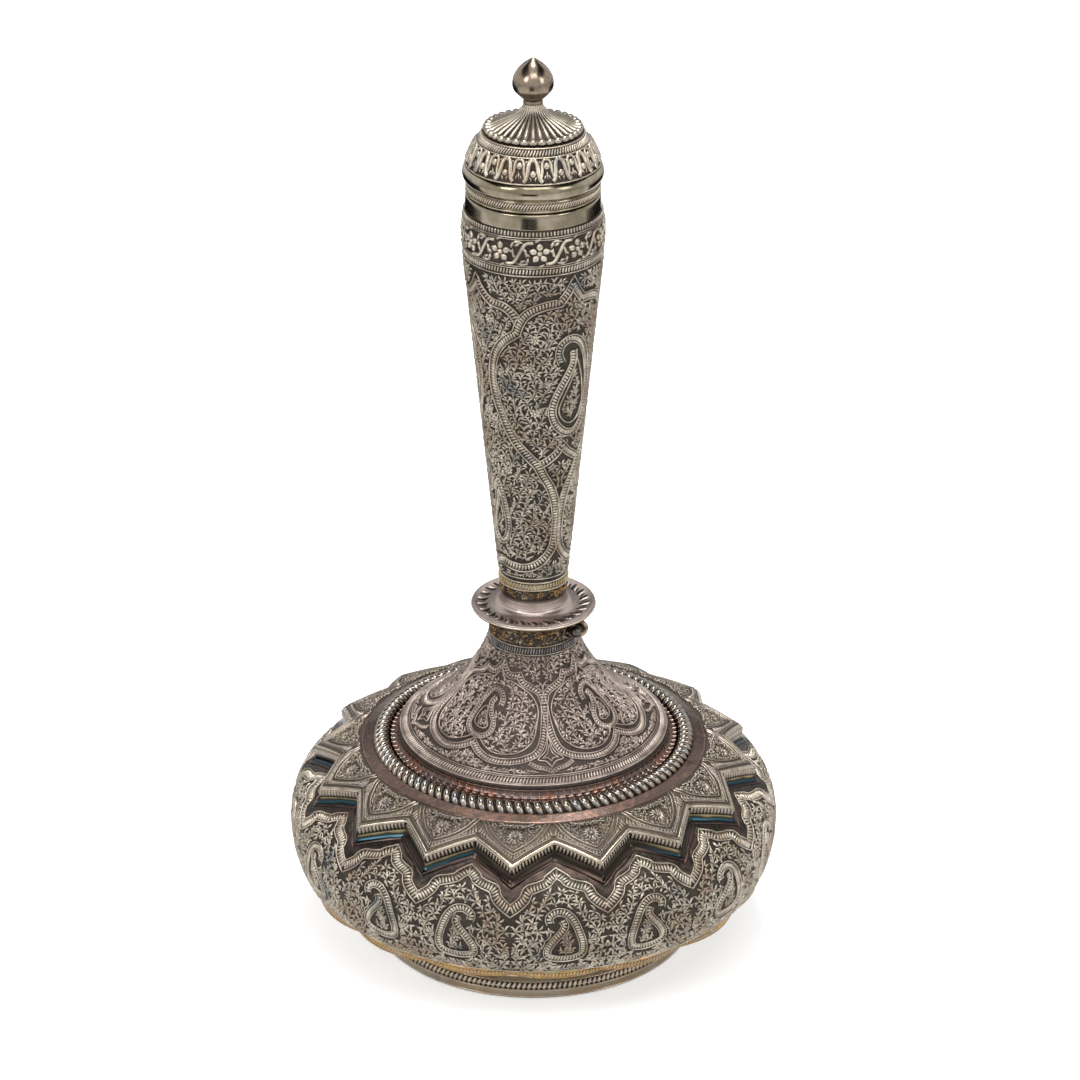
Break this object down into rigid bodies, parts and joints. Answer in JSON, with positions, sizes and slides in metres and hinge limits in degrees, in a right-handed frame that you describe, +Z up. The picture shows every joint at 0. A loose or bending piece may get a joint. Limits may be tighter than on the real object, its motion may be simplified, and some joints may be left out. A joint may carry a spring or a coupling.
{
  "type": "rosewater sprinkler",
  "caption": "Footed bottle with a wide round bowl, star-edged shoulder, flared bell, long lift-off trumpet neck and a domed lift-off cap with a bud finial, for sprinkling scented water.",
  "frame": {"origin": "centre of the foot ring at its resting face", "axes": "+Z up along the vessel axis; the front of the picture is -Y"},
  "size_m": [0.148, 0.148, 0.28],
  "materials": {
    "silver": "chased and tarnished",
    "dark_silver": "chased, oxidised",
    "bright_silver": "polished",
    "copper": "copper-toned, satin",
    "gilt": "gilt, satin"
  },
  "bodies": {
    "vessel": {"foot_ring": "gilt", "base_plate": "silver", "lobe_ring": "copper", "bowl_wall": "silver", "star_plate": "bright_silver", "copper_band": "copper", "gadroon_ring": "bright_silver", "cove_ring": "dark_silver", "bell": "silver", "throat_collar": "dark_silver", "flange": "bright_silver", "neck_socket": "dark_silver", "chain_eye": "gilt"},
    "pin": {"eye_pin": "dark_silver"},
    "neck": {"neck_plug": "silver", "neck_base_ring": "silver", "neck_tube": "silver", "sprinkler_rose": "bright_silver", "mouth_ring": "bright_silver"},
    "cap": {"cap_bezel": "silver", "cap_skirt": "dark_silver", "cap_bead": "bright_silver", "cap_dome": "silver", "cap_canopy": "bright_silver", "finial_peg": "dark_silver", "peg_washer": "silver", "peg_nut": "silver", "finial_bud": "bright_silver"}
  },
  "joints": [
    {"name": "neck_lift", "type": "slide", "parent": "vessel", "child": "neck", "axis": [0, 0, 1], "range_m": [0, 0.03]},
    {"name": "cap_lift", "type": "slide", "parent": "neck", "child": "cap", "axis": [0, 0, 1], "range_m": [0, 0.03]},
    {"name": "eye_pin_turn", "type": "hinge", "parent": "vessel", "child": "pin", "pos_m": [0.01389, -0.00618, 0.1029], "axis": [0.4067, 0.9135, 0], "continuous": true}
  ]
}
